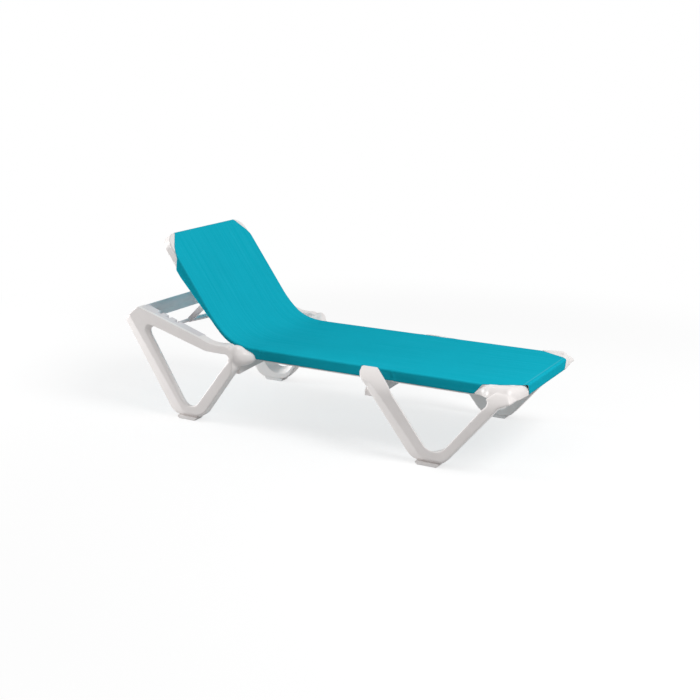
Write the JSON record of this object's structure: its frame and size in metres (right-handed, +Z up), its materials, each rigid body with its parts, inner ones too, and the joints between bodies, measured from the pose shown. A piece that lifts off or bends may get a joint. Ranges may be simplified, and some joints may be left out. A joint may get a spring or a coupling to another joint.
{
  "type": "sling chaise lounge",
  "caption": "Stacking sun lounger: moulded resin legs and rails, a stretched cloth sling, and a backrest that tips on side hinges and rests on a prop in notched racks.",
  "frame": {"origin": "centre of the footprint, on the floor", "axes": "+X from the head to the foot, +Y to the left across the lounge, +Z up"},
  "size_m": [1.6968, 0.686, 0.7314],
  "materials": {
    "resin": "satin moulded resin",
    "prop_resin": "satin moulded resin",
    "glide": "matte",
    "bush": "matte",
    "steel": "plain",
    "cloth": "fine woven mesh"
  },
  "bodies": {
    "base": {"head_leg_right": "resin", "head_leg_left": "resin", "foot_leg_right": "resin", "foot_leg_left": "resin", "seat_rail_right": "resin", "seat_rail_left": "resin", "rack_right": "resin", "rack_left": "resin", "head_glide_right": "glide", "head_glide_left": "glide", "foot_glide_right": "glide", "foot_glide_left": "glide", "hinge_pin_right": "steel", "hinge_pin_left": "steel", "seat_clamp_strips_right": "resin", "seat_clamp_strips_left": "resin", "foot_end_bar": "resin", "head_crossbar": "resin", "hip_crossbeam": "resin", "foot_crossbeam": "resin", "leg_bolts": "steel", "seat_sling": "cloth"},
    "back": {"back_rail_right": "resin", "back_rail_left": "resin", "back_corner_right": "resin", "back_corner_left": "resin", "back_top_bar": "resin", "back_lower_bar": "resin", "hinge_bush_right": "bush", "hinge_bush_left": "bush", "prop_bracket_right": "resin", "prop_bracket_left": "resin", "prop_pivot_pin_right": "steel", "prop_pivot_pin_left": "steel", "back_sling": "cloth"},
    "prop": {"prop_bail": "prop_resin", "prop_end_pin_right": "prop_resin", "prop_end_pin_left": "prop_resin"}
  },
  "joints": [
    {"name": "back_hinge", "type": "hinge", "parent": "base", "child": "back", "pos_m": [-0.34385, 0, 0.29375], "axis": [0, -1, 0], "range_deg": [-3, 24]},
    {"name": "prop_hinge", "type": "hinge", "parent": "back", "child": "prop", "pos_m": [-0.51934, 0, 0.46884], "axis": [0, 1, 0], "range_deg": [-10.26, 82.08]}
  ],
  "couplings": [
    {"joint": "prop_hinge", "follows": "back_hinge", "ratio": 3.42}
  ]
}
